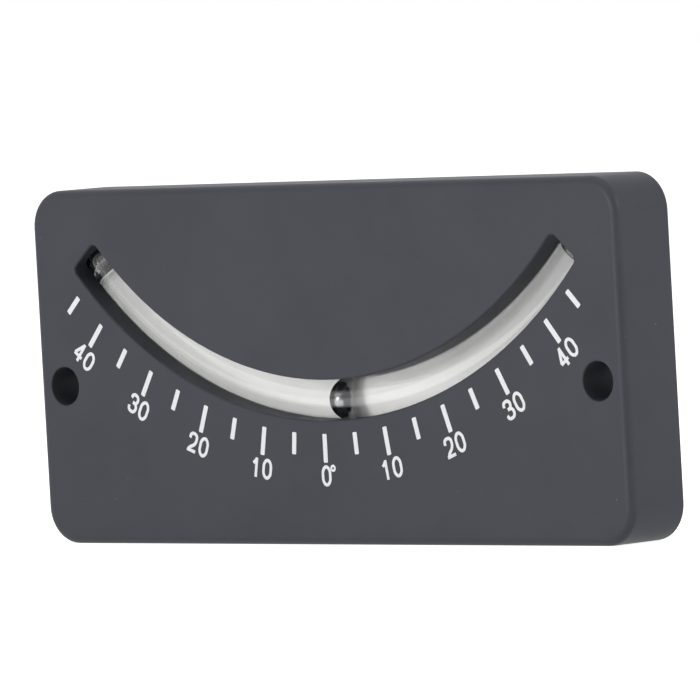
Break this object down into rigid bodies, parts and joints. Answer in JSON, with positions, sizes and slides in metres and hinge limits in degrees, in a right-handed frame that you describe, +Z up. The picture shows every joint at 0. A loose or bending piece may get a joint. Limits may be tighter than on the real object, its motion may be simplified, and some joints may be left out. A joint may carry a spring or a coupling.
{
  "type": "inclinometer",
  "caption": "Ball inclinometer: a steel ball rolls in a curved fluid filled glass tube behind an arc window in a flat dark grey moulded housing with a mounting hole at each end.",
  "frame": {"origin": "middle of the bottom face, half way through the depth", "axes": "+Z up, +X to the right seen from the front, -Y out of the face with the scale, +Y into the panel that it is screwed to"},
  "size_m": [0.1116, 0.0106, 0.0499],
  "materials": {
    "housing_plastic": "satin moulded dark slate grey, fine grain",
    "cover_plastic": "matt moulded dark grey",
    "tube_glass": "clear polished glass",
    "white_plastic": "plain white",
    "clear_fluid": "clear liquid",
    "ball_steel": "polished bearing steel",
    "clear_plug": "clear acrylic",
    "ring_rubber": "black nitrile",
    "sealant": "cured black sealant",
    "cushion_rubber": "soft black cell rubber",
    "screw_steel": "zinc plated steel"
  },
  "bodies": {
    "gauge": {"front_housing": "housing_plastic", "rear_cover": "cover_plastic", "sight_tube": "tube_glass", "white_backing": "white_plastic", "damping_fluid": "clear_fluid", "left_end_plug": "clear_plug", "left_plug_ring": "ring_rubber", "left_end_sealant": "sealant", "right_end_plug": "clear_plug", "right_plug_ring": "ring_rubber", "right_end_sealant": "sealant", "left_tube_cushion": "cushion_rubber", "centre_tube_cushion": "cushion_rubber", "right_tube_cushion": "cushion_rubber", "cover_screw_lower_left": "screw_steel", "cover_screw_lower_right": "screw_steel", "cover_screw_upper_left": "screw_steel", "cover_screw_upper_right": "screw_steel"},
    "ball": {"indicator_ball": "ball_steel"}
  },
  "joints": [
    {"name": "ball_travel", "type": "hinge", "parent": "gauge", "child": "ball", "pos_m": [0, -0.0008, 0.0812], "axis": [0, -1, 0], "range_deg": [-45, 45], "deforming": ["damping_fluid"]}
  ]
}
